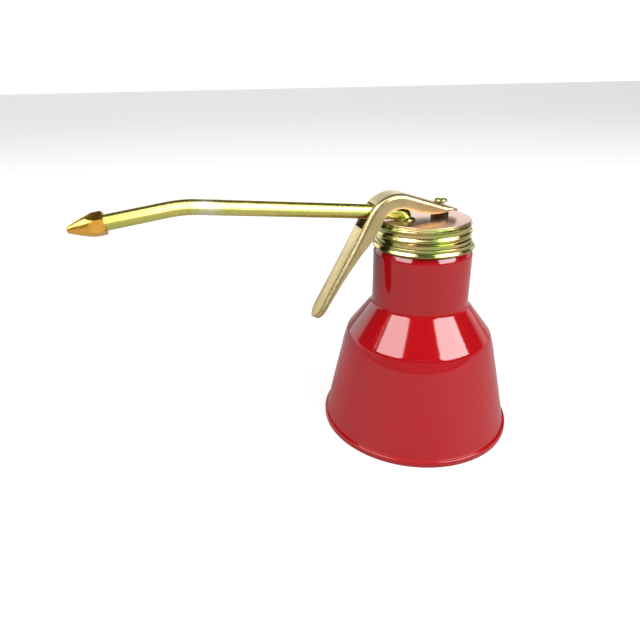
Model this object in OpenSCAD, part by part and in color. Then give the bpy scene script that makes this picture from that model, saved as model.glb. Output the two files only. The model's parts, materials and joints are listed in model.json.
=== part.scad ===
// Lever oil can: a drawn steel can, a screw cap with its pump and spout, and a lever that
// straddles the spout and lifts the pump rod. +Z is up, the origin is the centre of the foot
// on the table, and the spout points along -X.

/* [Can] */
// Outer diameter of the rolled hem at the foot
base_d = 88; // [74:1:106]
// Height of the rolled hem
hem_h = 3; // [2.4:0.1:4]
// How far the hem stands out from the wall above it
hem_proud = 1.1; // [0.8:0.1:1.8]
// Thickness of the drawn sheet
sheet_t = 0.6; // [0.5:0.05:0.8]
// Diameter at the corner where the skirt meets the shoulder
shoulder_d = 66.4; // [60:0.2:72]
// Height of that corner above the table
shoulder_h = 46; // [38:0.5:50]
// Rounding of the shoulder corner
shoulder_round = 8.6; // [4:0.2:9]
// Outer diameter of the neck
neck_d = 43.4; // [40:0.2:52.2]
// Height at which the shoulder meets the neck
neck_foot_h = 61; // [56:0.5:64]
// Rounding where the shoulder runs into the neck
neck_round = 3.4; // [1.5:0.1:5]
// Height of the floor plate above the table
floor_h = 1.2; // [0.8:0.1:1.6]

/* [Neck collar] */
// Height of the collar ring's lower edge above the table
collar_h = 87.2; // [82:0.1:105]
// Height of the ring
ring_h = 3; // [2.6:0.1:3.6]
// How far the ring stands out from the neck
ring_proud = 0.5; // [0.4:0.05:0.8]
// Height of the threaded part above the ring
upstand_h = 7.45; // [6.5:0.05:7.5]

/* [Cap] */
// How far the thread's crests on the cap lie inside the neck's surface
crest_inset = 1; // [0.8:0.05:1.4]
// Pitch of the rolled thread
thread_pitch = 3.8; // [3.4:0.1:4.4]
// Depth of the rolled thread
thread_depth = 0.8; // [0.6:0.05:0.9]
// Height of the first crest above the ring, on the spout's side
thread_lead_h = 2.55; // [1.5:0.05:3]
// Radial gap between the cap's thread and the collar's
thread_gap = 0.3; // [0.25:0.05:0.4]
// Height of the plain band at the foot of the skirt
band_h = 1.5; // [1:0.1:2]
// Diameter of the flat top disc, less than the crests by this much
disc_inset = 1.8; // [1.4:0.1:2.2]
// Thickness of the top disc
disc_t = 0.85; // [0.7:0.05:1.2]
// Thickness of the gasket
gasket_t = 0.6; // [0.4:0.05:0.65]
// Diameter of the vent hole
vent_d = 1; // [0.8:0.1:1.4]

/* [Spout] */
// Outer diameter of the tube
spout_od = 6.2; // [5.6:0.1:6.4]
// Wall of the tube
spout_wall = 0.8; // [0.6:0.05:1]
// Distance from the can's axis to the tube's upright leg
root_x = 9.5; // [9:0.1:10.5]
// Radius of the elbow's inner side
elbow_inner_r = 0.3; // [0.2:0.1:0.9]
// Angle at which the long run rises
rise_a = 6; // [4:0.5:9]
// Length of the long straight run
rise_l = 83.5; // [60:0.5:110]
// Angle at which the end of the spout falls
drop_a = 7.5; // [5:0.5:12]
// Centre-line radius of the long bend
bend_r = 50; // [40:1:60]
// Length of the falling run, with the part inside the nozzle
drop_l = 26.6; // [18:0.2:34]
// Outer diameter of the ring round the elbow's foot
foot_ring_d = 9.4; // [8.8:0.1:9.6]
// Height of that ring
foot_ring_h = 0.8; // [0.5:0.1:1]

/* [Nozzle] */
// Distance across the nozzle's flats
hex_af = 8; // [7.8:0.1:9.5]
// Length of the hexagon
hex_l = 3.2; // [2.5:0.1:5]
// Whole length of the nozzle
nozzle_l = 13.4; // [11.2:0.2:16.2]
// Depth of the socket that takes the tube
socket_l = 4; // [3:0.1:5]
// Diameter at the nozzle's tip
tip_d = 2.2; // [1.8:0.1:3]
// Diameter of the orifice
orifice_d = 0.9; // [0.6:0.1:1.2]

/* [Lever] */
// Width of the channel
lever_w = 12.5; // [11.8:0.1:14]
// Thickness of the pressed sheet
lever_t = 0.9; // [0.8:0.05:1.1]
// Distance from the cap disc's edge out to the bearing line on the tube
fulcrum_out = 4.2; // [3.9:0.1:6]
// Slope of the arm over the cap
arm_a = 18.4; // [17:0.2:20]
// Distance of the arm's outer face above the bearing line
arm_over = 7.88; // [7.6:0.05:8.6]
// Slope of the handle below the horizontal
handle_a = 60.7; // [58:0.1:64]
// Distance of the handle's outer face beyond the bearing line
handle_out = 1.3; // [1.1:0.05:1.6]
// Outer radius of the hump between arm and handle
hump_r = 14; // [12:0.2:16]
// Length of the handle from the corner of the two slopes
handle_l = 62.6; // [52:0.2:70]
// Depth of the side flanges at the hump
flange_h = 6.3; // [5:0.1:6.6]
// Depth of the side flanges at the end of the handle
flange_end_h = 2.3; // [1.8:0.1:3]
// Gap between the tube's top and the window's upper edge
bearing_gap = 0.5; // [0.4:0.05:0.7]
// Height of the window in the web
window_h = 9.6; // [8:0.2:11]

/* [Pump] */
// Distance from the can's axis to the pump rod, away from the spout
rod_x = 7.3; // [7:0.1:7.8]
// Diameter of the rod
rod_d = 3; // [2.6:0.1:3.2]
// Diameter of the domed rod head
head_d = 6.2; // [5.6:0.1:6.4]
// Height of the rod head
head_h = 1.8; // [1.4:0.1:2.2]
// Bore of the barrel
barrel_id = 13; // [12:0.1:13.4]
// Wall of the barrel
barrel_wall = 1; // [0.8:0.05:1.1]
// Length of the barrel below its head
barrel_l = 40; // [38:0.5:44]
// Height of the barrel head under the cap
barrel_head_h = 8; // [7:0.5:9]
// Height of the piston above the foot valve at rest
piston_rest_h = 4.5; // [4:0.1:6]
// Wire of the return spring
spring_wire = 1; // [0.8:0.1:1.2]
// Turns of the return spring
spring_turns = 7; // [5:1:8]
// Diameter of the inlet ball
inlet_ball_d = 5; // [4.5:0.1:5.4]
// Travel of the inlet ball
ball_lift = 1; // [0.6:0.1:1.2]
// Outer diameter of the dip tube
dip_d = 5; // [4.4:0.1:5.4]
// Gap between the strainer and the floor plate
dip_gap = 3; // [2:0.5:6]
// Diameter of the outlet ball
outlet_ball_d = 3.4; // [3:0.1:3.6]

/* [Hidden] */
$fn = 96;

eps = 0.01;
// Clearance for pieces that slide in one another
run_gap = 0.05;

// Can
neck_r = neck_d / 2;
wall_foot_r = base_d / 2 - hem_proud;
ring_r = neck_r + ring_proud;
ring_top_h = collar_h + ring_h;
seam_t = sheet_t + 0.1;

// Threaded sleeves
crest_r = neck_r - crest_inset;
cap_root_r = crest_r - thread_depth;
collar_root_r = cap_root_r - sheet_t - thread_gap;
crest_zero_h = ring_top_h + thread_lead_h - thread_pitch / 2;
collar_top_h = ring_top_h + upstand_h;
skirt_foot_h = ring_top_h + 0.2;
gasket_h = collar_top_h + 0.05;
disc_h = gasket_h + gasket_t + 0.05;
disc_top_h = disc_h + disc_t;
disc_r = crest_r - disc_inset / 2;
gasket_r = collar_root_r - 0.1;
gasket_inner_r = gasket_r - 2.6;
vent_x = 3;
vent_y = 10;
THREAD_SIDES = 48;
THREAD_STEP = 0.46;

// Spout centre line: upright leg, elbow, long run, long bend, falling run
spout_r = spout_od / 2;
elbow_r = spout_r + elbow_inner_r;
spout_bore_r = spout_r - spout_wall;
elbow_h = disc_top_h - 0.24;
elbow_end_x = root_x + elbow_r * (1 - sin(rise_a));
elbow_end_h = elbow_h + elbow_r * cos(rise_a);
throat_r = 1.4;
throat_wall = 4;
BEND_FACETS = 40;

// Lever: two slopes that meet at a corner, rounded by the hump
fulcrum_x = disc_r + fulcrum_out;
fulcrum_h = elbow_end_h + (fulcrum_x - elbow_end_x) * tan(rise_a) + spout_r / cos(rise_a);
arm_dir = [cos(arm_a), sin(arm_a)];
arm_up = [-sin(arm_a), cos(arm_a)];
handle_dir = [cos(handle_a), -sin(handle_a)];
handle_side = [sin(handle_a), cos(handle_a)];
arm_pt = [fulcrum_x, fulcrum_h] + arm_over * arm_up;
handle_pt = [fulcrum_x, fulcrum_h] + handle_out * handle_side;
corner_run = ((handle_pt - arm_pt) * handle_side) / (arm_dir * handle_side);
corner_pt = arm_pt + corner_run * arm_dir;
hump_turn = arm_a + handle_a;
hump_run = hump_r * tan(hump_turn / 2);
hump_centre = corner_pt - hump_run * arm_dir - hump_r * arm_up;
tip_overhang = 7.9;
arm_l = (corner_pt.x + rod_x + tip_overhang) / cos(arm_a);
hump_l = hump_r * hump_turn * PI / 180;
arm_flat_l = arm_l - hump_run;
handle_flat_l = handle_l - hump_run;
handle_u = arm_flat_l + hump_l;
path_l = handle_u + handle_flat_l;
window_top_h = fulcrum_h + bearing_gap;
window_w = spout_od + 1.8;
slot_w = rod_d + 0.6;
slot_l = 6;
slot_shift = 0.4;

// Pump
rod_r = rod_d / 2;
head_seat_h = arm_pt.y - (fulcrum_x + rod_x - arm_over * sin(arm_a)) * tan(arm_a) + 0.75;
barrel_r = barrel_id / 2 + barrel_wall;
barrel_top_h = disc_h - barrel_head_h + 2;
barrel_head_r = barrel_r + 1;
barrel_foot_h = disc_h - barrel_head_h - barrel_l;
spigot_h = 3.6;
valve_top_h = barrel_foot_h + spigot_h;
piston_h = valve_top_h + piston_rest_h;
nut_h = 2.2;
bottom_washer_h = 1;
cup_h = 4;
top_washer_h = 1;
washer_r = barrel_id / 2 - 0.6;
bottom_washer_z = piston_h + nut_h;
cup_z = bottom_washer_z + bottom_washer_h;
top_washer_z = cup_z + cup_h;
spring_foot_h = top_washer_z + top_washer_h;
spring_head_h = disc_h - barrel_head_h;
spring_r = barrel_id / 2 - 1.6;
gland_r = 3;
gland_nut_h = 1.7;
gland_nut_af = 6.6;
packing_h = 3;
packing_z = disc_h - packing_h - 0.6;
valve_h = 7;
valve_foot_h = valve_top_h - valve_h - spigot_h;
ball_r = inlet_ball_d / 2;
ball_seat_r = 1.5;
ball_chamber_r = ball_r + 0.15;
ball_drop = sqrt(pow(ball_r, 2) - pow(ball_seat_r, 2));
seat_h = valve_foot_h + 3.4;
ball_h = seat_h + ball_drop;
stop_pin_r = 0.5;
stop_pin_h = ball_h + ball_r + ball_lift + stop_pin_r + 0.1;
dip_r = dip_d / 2;
dip_top_h = valve_foot_h + 2.6;
strainer_foot_h = floor_h + sheet_t + dip_gap;
strainer_h = 8;
dip_foot_h = strainer_foot_h + 3;
block_w = 9;
block_foot_h = disc_h - 10.5;
block_end_x = root_x + 4.6;
passage_r = 0.9;
passage_h = disc_h - 4;
riser_x = 1.6;
outlet_ball_r = outlet_ball_d / 2;
outlet_chamber_r = outlet_ball_r + 0.15;
outlet_seat_r = 1;
outlet_seat_h = block_foot_h + 3.1;
outlet_ball_h = outlet_seat_h + sqrt(pow(outlet_ball_r, 2) - pow(outlet_seat_r, 2));
outlet_ball_top_h = outlet_ball_h + outlet_ball_r;
leg_foot_h = disc_h - 2;

// ---------- shared shapes ----------

// Points of an arc about a centre
function arc_pts(c, r, from, to, steps) =
    [for (i = [0:steps]) c + r * [cos(from + (to - from) * i / steps), sin(from + (to - from) * i / steps)]];

function unit(v) = v / norm(v);
function left_of(v) = [-v.y, v.x];

// A corner b of a path a-b-c, rounded with radius r
function round_corner(a, b, c, r, steps) =
    let (u = unit(a - b), v = unit(c - b), half = acos(u * v) / 2, run = r / tan(half),
         o = b + unit(u + v) * r / sin(half), p = b + u * run - o, q = b + v * run - o,
         from = atan2(p.y, p.x), turn = atan2(p.x * q.y - p.y * q.x, p * q))
    arc_pts(o, r, from, from + turn, steps);

// A corner b of a path a-b-c, moved to its left by t
function shift_corner(a, b, c, t) =
    let (m = left_of(unit(b - a)), n = left_of(unit(c - b))) b + t * (m + n) / (1 + m * n);

// A straight cylinder from one height to another
module rod_between(r, low, high) {
    translate([0, 0, low]) cylinder(r = r, h = high - low);
}

// A ring between two radii
module ring_between(r_in, r_out, low, high) {
    difference() {
        rod_between(r_out, low, high);
        rod_between(r_in, low - 1, high + 1);
    }
}

// A hexagonal prism across its flats
module hexagon(af, h) {
    rotate([0, 0, 30]) cylinder(d = af / cos(30), h = h, $fn = 6);
}

// A round wire wound into a coil between two heights, from radius r_low to r_high
module coil(r_low, r_high, wire_r, low, high, turns, around) {
    sides = 6;
    steps = around * turns;
    rise = (high - low - 2 * wire_r) / steps;
    pts = [for (i = [0:steps]) for (j = [0:sides - 1])
        let (a = 360 * i / around, b = 360 * j / sides, r = r_low + (r_high - r_low) * i / steps
             + wire_r * cos(b))
        [r * cos(a), r * sin(a), low + wire_r + rise * i + wire_r * sin(b)]];
    sides_f = [for (i = [0:steps - 1]) for (j = [0:sides - 1])
        let (k = (j + 1) % sides)
        each [[i * sides + j, i * sides + k, (i + 1) * sides + k],
              [i * sides + j, (i + 1) * sides + k, (i + 1) * sides + j]]];
    foot_f = [[for (j = [sides - 1:-1:0]) j]];
    head_f = [[for (j = [0:sides - 1]) steps * sides + j]];
    polyhedron(points = pts, faces = concat(sides_f, foot_f, head_f), convexity = 8);
}

// ---------- rolled thread ----------

// 1 on a crest, 0 in a root; the crests climb one pitch for each turn
function thread_wave(h, a) =
    pow((1 + cos(360 * ((h - crest_zero_h) / thread_pitch - a / 360))) / 2, 2);

// Fades from 0 to 1 between two heights
function fade(h, from, to) = min(1, max(0, (h - from) / (to - from)));

// A thin sleeve with a rolled thread; band_top is the height of a plain band at its foot
module threaded_sleeve(low, high, root_r, wall, band_top, fade_from) {
    rows = ceil((high - low) / THREAD_STEP);
    n = THREAD_SIDES;
    radii = [for (i = [0:rows]) let (h = low + (high - low) * i / rows)
        [for (j = [0:n - 1])
            root_r + thread_depth * max(thread_wave(h, 360 * j / n) * (1 - fade(h, fade_from, high)),
                                        1 - fade(h, band_top, band_top + 0.6))]];
    skin = [for (w = [0, wall]) for (i = [0:rows]) for (j = [0:n - 1])
        let (r = radii[i][j] - w, a = 360 * j / n)
        [r * cos(a), r * sin(a), low + (high - low) * i / rows]];
    inner = (rows + 1) * n;
    outer_f = [for (i = [0:rows - 1]) for (j = [0:n - 1]) let (k = (j + 1) % n)
        each [[i * n + j, (i + 1) * n + k, i * n + k], [i * n + j, (i + 1) * n + j, (i + 1) * n + k]]];
    inner_f = [for (f = outer_f) [inner + f[0], inner + f[2], inner + f[1]]];
    foot_f = [for (j = [0:n - 1]) let (k = (j + 1) % n)
        each [[j, k, inner + k], [j, inner + k, inner + j]]];
    top = rows * n;
    head_f = [for (j = [0:n - 1]) let (k = (j + 1) % n)
        each [[top + j, inner + top + k, top + k], [top + j, inner + top + j, inner + top + k]]];
    polyhedron(points = skin, faces = concat(outer_f, inner_f, foot_f, head_f), convexity = 8);
}

// ---------- can ----------

// Outline of the can's wall, from the hem to the neck's rim, moved inwards by inset
function can_wall(inset) =
    let (p = [[wall_foot_r, hem_h], [shoulder_d / 2, shoulder_h], [neck_r, neck_foot_h],
              [neck_r, ring_top_h - seam_t]],
         foot = p[0] + inset * [-1, 0],
         corner = shift_corner(p[0], p[1], p[2], inset),
         root = shift_corner(p[1], p[2], p[3], inset),
         rim = p[3] + inset * [-1, 0])
    concat([foot],
           round_corner(foot, corner, root, shoulder_round - inset, 8),
           round_corner(corner, root, rim, neck_round + inset, 6),
           [rim]);

module can_body() {
    hem_r = base_d / 2;
    outside = can_wall(0);
    inside = can_wall(sheet_t);
    foot_in = inside[0].x;
    color("firebrick")
        rotate_extrude()
        polygon(concat(
            [[hem_r - seam_t, 0], [hem_r - 0.3, 0], [hem_r, 0.4], [hem_r, hem_h - 0.4], [hem_r - 0.4, hem_h]],
            outside,
            [for (i = [len(inside) - 1:-1:0]) inside[i]],
            [[foot_in, hem_h - sheet_t], [hem_r - seam_t, hem_h - sheet_t]]));
}

module bottom_plate() {
    lip_r = base_d / 2 - seam_t;
    color("firebrick")
        rotate_extrude()
        polygon([[0, floor_h], [lip_r - sheet_t, floor_h], [lip_r - sheet_t, 0], [lip_r, 0],
                 [lip_r, hem_h - sheet_t], [lip_r - sheet_t, hem_h - sheet_t],
                 [lip_r - sheet_t, floor_h + sheet_t], [0, floor_h + sheet_t]]);
}

module neck_collar() {
    rim_r = collar_root_r - sheet_t - 0.2;
    color("darkkhaki") {
        // ring rolled over the rim of the neck
        rotate_extrude()
            polygon([[neck_r, collar_h], [ring_r - 0.3, collar_h], [ring_r, collar_h + 0.4],
                     [ring_r, ring_top_h - 0.8], [ring_r - 0.8, ring_top_h], [rim_r, ring_top_h],
                     [rim_r, ring_top_h - seam_t], [neck_r, ring_top_h - seam_t]]);
        threaded_sleeve(ring_top_h, collar_top_h, collar_root_r, sheet_t, ring_top_h - 2, collar_top_h - 0.8);
    }
}

// ---------- cap ----------

module cap_gasket() {
    color("dimgray") ring_between(gasket_inner_r, gasket_r, gasket_h, gasket_h + gasket_t);
}

module cap() {
    color("khaki")
        difference() {
            union() {
                threaded_sleeve(skirt_foot_h, disc_h + 0.3, cap_root_r, sheet_t,
                                skirt_foot_h + band_h, disc_h - 0.4);
                rod_between(disc_r, disc_h, disc_top_h);
            }
            translate([-root_x, 0, 0]) rod_between(spout_r, disc_h - 1, disc_top_h + 1);
            translate([rod_x, 0, 0]) rod_between(gland_r, disc_h - 1, disc_top_h + 1);
            translate([-vent_x, vent_y, 0]) rod_between(vent_d / 2, disc_h - 1, disc_top_h + 1);
        }
}

// ---------- spout ----------

// Frames that follow the spout: +Z runs along the tube and +X is its upper side
module on_long_run() {
    translate([-root_x - elbow_r, 0, elbow_h])
        rotate([0, rise_a - 90, 0])
        translate([elbow_r, 0, 0])
        children();
}

module on_falling_run() {
    on_long_run()
        translate([-bend_r, 0, rise_l])
        rotate([0, -rise_a - drop_a, 0])
        translate([bend_r, 0, 0])
        children();
}

// Upright leg and elbow, swept with a circle of radius r; over lengthens the foot
module elbow_run(r, over) {
    translate([-root_x, 0, 0]) rod_between(r, leg_foot_h - over, elbow_h);
    translate([-root_x - elbow_r, 0, elbow_h])
        rotate([90, 0, 0])
        rotate_extrude(angle = 90 - rise_a)
        translate([elbow_r, 0]) circle(r = r, $fn = BEND_FACETS);
}

// Long run, long bend and falling run, swept with a circle of radius r; over lengthens both ends
module spout_run(r, over) {
    on_long_run() {
        translate([0, 0, -over]) cylinder(r = r, h = rise_l + over);
        translate([-bend_r, 0, rise_l])
            rotate([90, 0, 0])
            rotate_extrude(angle = rise_a + drop_a)
            translate([bend_r, 0]) circle(r = r, $fn = BEND_FACETS);
    }
    on_falling_run() cylinder(r = r, h = drop_l + over);
}

module spout_elbow() {
    color("darkkhaki")
        difference() {
            elbow_run(spout_r, 0);
            elbow_run(spout_bore_r, 1);
        }
}

module spout_tube() {
    color("darkkhaki")
        difference() {
            spout_run(spout_r, 0);
            spout_run(spout_bore_r, 1);
        }
}

module spout_ring() {
    cut_r = spout_r + 2 * run_gap;
    // the ring is open under the run, where the elbow's inner curve comes down to the disc
    heel_r = 1.2 * spout_r;
    color("darkkhaki")
        difference() {
            translate([-root_x, 0, 0]) rod_between(foot_ring_d / 2, disc_top_h, disc_top_h + foot_ring_h);
            translate([-root_x, 0, 0]) rod_between(cut_r, disc_top_h - 1, disc_top_h + foot_ring_h + 1);
            on_long_run() translate([0, 0, -elbow_r]) cylinder(r = heel_r, h = 3 * elbow_r);
        }
}

module nozzle() {
    cone_l = nozzle_l - hex_l;
    corner_r = hex_af / 2 / cos(30);
    tip_r = tip_d / 2;
    steps = 6;
    color("goldenrod")
        on_falling_run()
        translate([0, 0, drop_l - socket_l])
        difference() {
            // hexagonal bar turned down to a slightly full cone
            intersection() {
                rotate([0, 0, 30]) hexagon(hex_af, nozzle_l);
                rotate_extrude()
                    polygon(concat([[0, 0], [corner_r - 0.5, 0], [corner_r, 0.4]],
                        [for (i = [0:steps]) let (t = i / steps)
                            [tip_r + (corner_r - tip_r) * (1 - pow(t, 1.15)), hex_l + cone_l * t]],
                        [[0, nozzle_l]]));
            }
            translate([0, 0, -1]) cylinder(r = spout_r, h = socket_l + 1);
            cylinder(r = throat_r, h = nozzle_l - throat_wall);
            cylinder(r = orifice_d / 2, h = nozzle_l + 1);
        }
}

// ---------- lever ----------

// Depth of the flange at a distance u along the lever from its rear tip
function flange_depth(u) =
    lookup(u, [[tip_overhang - 3, lever_t], [tip_overhang + 2.5, 0.58 * flange_h],
               [tip_overhang + 10, 0.87 * flange_h],
               [arm_flat_l + hump_l / 2, flange_h], [handle_u + 8, flange_h], [handle_u + 24, 0.6 * flange_h],
               [handle_u + 31, 0.5 * flange_h], [path_l, flange_end_h]]);

// A point and outward normal at a distance u along the lever's outer face
function lever_pt(u) =
    u < arm_flat_l ? [corner_pt + (u - arm_l) * arm_dir, arm_up]
    : u < handle_u
        ? let (a = 90 + arm_a - (u - arm_flat_l) / hump_r * 180 / PI, n = [cos(a), sin(a)])
          [hump_centre + hump_r * n, n]
        : [corner_pt + (hump_run + u - handle_u) * handle_dir, handle_side];

// Side outline of the lever between two depths below its outer face
function lever_side(shallow, deeper) =
    let (steps = 48, us = [for (i = [0:steps]) path_l * i / steps])
    concat([for (u = us) let (p = lever_pt(u)) p[0] - shallow * p[1]],
           [for (i = [steps:-1:0]) let (p = lever_pt(us[i])) p[0] - (flange_depth(us[i]) + deeper) * p[1]]);

// Takes off what lies beyond a round end of radius r; +X points to the end
module end_trim(r) {
    difference() {
        translate([0, -lever_w, -hump_r]) cube([r + 2, 2 * lever_w, 2 * hump_r]);
        translate([0, 0, -hump_r - 1]) cylinder(r = r, h = 2 * hump_r + 2);
    }
}

// The lever's solid, inset on all sides but open below
module lever_blank(inset, deeper) {
    end_r = lever_w / 2 - inset;
    tip = lever_pt(0)[0];
    end = lever_pt(path_l)[0];
    difference() {
        rotate([90, 0, 0])
            linear_extrude(lever_w - 2 * inset, center = true)
            polygon([for (p = lever_side(inset, deeper)) [-p.x, p.y]]);
        translate([-tip.x, 0, tip.y]) rotate([0, arm_a, 0])
            translate([-lever_w / 2, 0, 0]) end_trim(end_r);
        translate([-end.x, 0, end.y]) rotate([0, 180 - handle_a, 0])
            translate([-lever_w / 2, 0, 0]) end_trim(end_r);
    }
}

module lever() {
    color("tan")
        difference() {
            lever_blank(0, 0);
            lever_blank(lever_t, 3);
            // window that the spout passes through
            translate([-fulcrum_x - 12, -window_w / 2, window_top_h - window_h])
                cube([12.9, window_w, window_h]);
            // slot round the pump rod
            translate([rod_x + slot_shift - slot_l / 2, -slot_w / 2, disc_top_h + 1])
                cube([slot_l, slot_w, 12]);
        }
}

// ---------- plunger ----------

module plunger_rod() {
    color("silver")
        translate([rod_x, 0, 0]) rod_between(rod_r, piston_h - 1, head_seat_h);
}

module rod_head() {
    seat_r = 2.2;
    rim_h = 0.6;
    head_r = head_d / 2;
    dome_h = head_h - rim_h;
    steps = 6;
    color("darkkhaki")
        translate([rod_x, 0, head_seat_h])
        rotate_extrude()
        polygon(concat([[0, 0], [seat_r, 0]],
            [for (i = [0:steps]) let (a = 90 * i / steps) [head_r * cos(a), rim_h + dome_h * sin(a)]]));
}

module piston_top_washer() {
    color("goldenrod")
        translate([rod_x, 0, 0]) ring_between(rod_r, washer_r, top_washer_z, spring_foot_h);
}

module piston_cup() {
    cup_r = barrel_id / 2 - run_gap;
    lip = 1;
    color("saddlebrown")
        translate([rod_x, 0, 0])
        difference() {
            rod_between(cup_r, cup_z, top_washer_z);
            ring_between(3.4, cup_r - lip, cup_z + 1.4, top_washer_z + 1);
            rod_between(rod_r, cup_z - 1, top_washer_z + 1);
        }
}

module piston_bottom_washer() {
    color("goldenrod")
        translate([rod_x, 0, 0]) ring_between(rod_r, washer_r, bottom_washer_z, cup_z);
}

module piston_nut() {
    color("goldenrod")
        translate([rod_x, 0, piston_h])
        difference() {
            hexagon(5.6, nut_h);
            rod_between(rod_r, -1, nut_h + 1);
        }
}

module return_spring() {
    color("silver")
        translate([rod_x, 0, 0])
        coil(spring_r, spring_r, spring_wire / 2, spring_foot_h, spring_head_h, spring_turns, 16);
}

// ---------- pump under the cap ----------

module gland_nut() {
    color("goldenrod")
        translate([rod_x, 0, 0])
        difference() {
            union() {
                translate([0, 0, disc_top_h]) hexagon(gland_nut_af, gland_nut_h);
                rod_between(gland_r, packing_z + packing_h, disc_top_h + eps);
            }
            rod_between(rod_r + run_gap, packing_z, disc_top_h + gland_nut_h + 1);
        }
}

module gland_packing() {
    color("dimgray")
        translate([rod_x, 0, 0]) ring_between(rod_r + 0.02, gland_r, packing_z, packing_z + packing_h);
}

module barrel_head() {
    color("goldenrod")
        difference() {
            translate([rod_x, 0, 0])
                union() {
                    rod_between(barrel_head_r, barrel_top_h, disc_h);
                    rod_between(barrel_id / 2, spring_head_h, barrel_top_h + eps);
                }
            translate([rod_x, 0, 0]) {
                rod_between(rod_r + run_gap, spring_head_h - 1, disc_h + 1);
                rod_between(gland_r, packing_z, disc_h + 1);
            }
            // passage from the barrel to the outlet block
            translate([rod_x - 4.4, 0, 0]) rod_between(passage_r, spring_head_h - 1, passage_h);
            translate([rod_x - 4.4, 0, passage_h])
                rotate([0, -90, 0])
                cylinder(r = passage_r, h = barrel_head_r);
            // flat where the outlet block sits
            translate([-2 * block_end_x, -barrel_head_r - 1, barrel_top_h - 1])
                cube([2 * block_end_x - 0.2, 2 * barrel_head_r + 2, barrel_head_h + 2]);
        }
}

module pump_barrel() {
    color("lightsteelblue")
        translate([rod_x, 0, 0]) ring_between(barrel_id / 2, barrel_r, barrel_foot_h, barrel_top_h);
}

module foot_valve() {
    color("goldenrod")
        translate([rod_x, 0, 0])
        difference() {
            union() {
                rod_between(barrel_r, valve_foot_h, barrel_foot_h);
                rod_between(barrel_id / 2, barrel_foot_h - eps, valve_top_h);
            }
            rod_between(ball_chamber_r, seat_h, valve_top_h + 1);
            rod_between(ball_seat_r, valve_foot_h - 1, seat_h + 1);
            rod_between(dip_r, valve_foot_h - 1, dip_top_h);
            translate([0, 0, stop_pin_h])
                rotate([90, 0, 0])
                cylinder(r = stop_pin_r, h = 2 * barrel_r, center = true);
        }
}

module inlet_ball() {
    color("silver") translate([rod_x, 0, ball_h + 0.02]) sphere(r = ball_r);
}

module ball_stop_pin() {
    color("silver")
        translate([rod_x, 0, stop_pin_h]) rotate([90, 0, 0])
        cylinder(r = stop_pin_r, h = barrel_id - 1, center = true);
}

module dip_tube() {
    color("lightsteelblue")
        translate([rod_x, 0, 0]) ring_between(dip_r - 0.6, dip_r, dip_foot_h, dip_top_h);
}

module strainer() {
    wall = 0.6;
    slots = 6;
    color("goldenrod")
        translate([rod_x, 0, 0])
        difference() {
            rod_between(dip_r + wall, strainer_foot_h, strainer_foot_h + strainer_h);
            rod_between(dip_r, strainer_foot_h + wall, strainer_foot_h + strainer_h + 1);
            for (i = [0:slots - 1])
                rotate([0, 0, 360 * i / slots])
                    translate([0, -0.5, strainer_foot_h + 1]) cube([dip_r + wall + 1, 1, 1.6]);
        }
}

module outlet_block() {
    color("goldenrod")
        difference() {
            translate([-block_end_x, -block_w / 2, block_foot_h])
                cube([block_end_x - 0.2, block_w, disc_h - block_foot_h]);
            translate([-root_x, 0, 0]) {
                rod_between(outlet_seat_r, block_foot_h + 1, disc_h);
                rod_between(outlet_chamber_r, outlet_seat_h, outlet_ball_top_h);
                rod_between(spout_r, outlet_ball_top_h - eps, leg_foot_h + eps);
                rod_between(spout_r, leg_foot_h, disc_h + 1);
            }
            // cross passage from the barrel head down to the seat
            translate([-riser_x, 0, block_foot_h + 2])
                rotate([0, -90, 0])
                cylinder(r = passage_r, h = root_x - riser_x);
            translate([-riser_x, 0, 0]) rod_between(passage_r, block_foot_h + 2, passage_h);
            translate([0, 0, passage_h]) rotate([0, -90, 0]) cylinder(r = passage_r, h = riser_x);
        }
}

module outlet_ball() {
    color("silver") translate([-root_x, 0, outlet_ball_h + 0.02]) sphere(r = outlet_ball_r);
}

module outlet_spring() {
    color("silver")
        translate([-root_x, 0, 0])
        coil(1, spout_r - 0.5, 0.2, outlet_ball_top_h - 0.1, leg_foot_h, 4, 12);
}

can_body();
bottom_plate();
neck_collar();
cap_gasket();
cap();
spout_elbow();
spout_tube();
spout_ring();
nozzle();
lever();
plunger_rod();
rod_head();
gland_nut();
gland_packing();
barrel_head();
pump_barrel();
return_spring();
piston_top_washer();
piston_cup();
piston_bottom_washer();
piston_nut();
foot_valve();
inlet_ball();
ball_stop_pin();
dip_tube();
strainer();
outlet_block();
outlet_ball();
outlet_spring();
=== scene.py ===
import json
from math import atan2, cos, degrees, pi, radians, sin, sqrt, tan

import bmesh
import bpy
from mathutils import Matrix, Vector


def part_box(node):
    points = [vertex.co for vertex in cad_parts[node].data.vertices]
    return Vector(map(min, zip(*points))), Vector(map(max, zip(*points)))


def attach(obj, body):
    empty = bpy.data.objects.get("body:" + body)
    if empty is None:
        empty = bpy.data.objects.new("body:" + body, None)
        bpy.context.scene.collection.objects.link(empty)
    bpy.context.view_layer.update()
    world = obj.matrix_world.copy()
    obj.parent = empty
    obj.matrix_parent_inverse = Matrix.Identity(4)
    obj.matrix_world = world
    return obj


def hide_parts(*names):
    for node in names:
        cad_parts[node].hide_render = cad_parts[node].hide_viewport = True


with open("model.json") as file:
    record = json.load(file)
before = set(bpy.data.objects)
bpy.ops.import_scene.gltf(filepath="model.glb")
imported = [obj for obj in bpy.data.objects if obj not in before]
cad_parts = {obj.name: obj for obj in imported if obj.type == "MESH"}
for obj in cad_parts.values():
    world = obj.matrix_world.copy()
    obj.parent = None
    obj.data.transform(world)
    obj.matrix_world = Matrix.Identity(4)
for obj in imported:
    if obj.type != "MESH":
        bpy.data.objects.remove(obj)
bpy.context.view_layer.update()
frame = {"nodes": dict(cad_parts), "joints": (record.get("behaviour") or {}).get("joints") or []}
scene = bpy.context.scene
MM = 0.001

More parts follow.
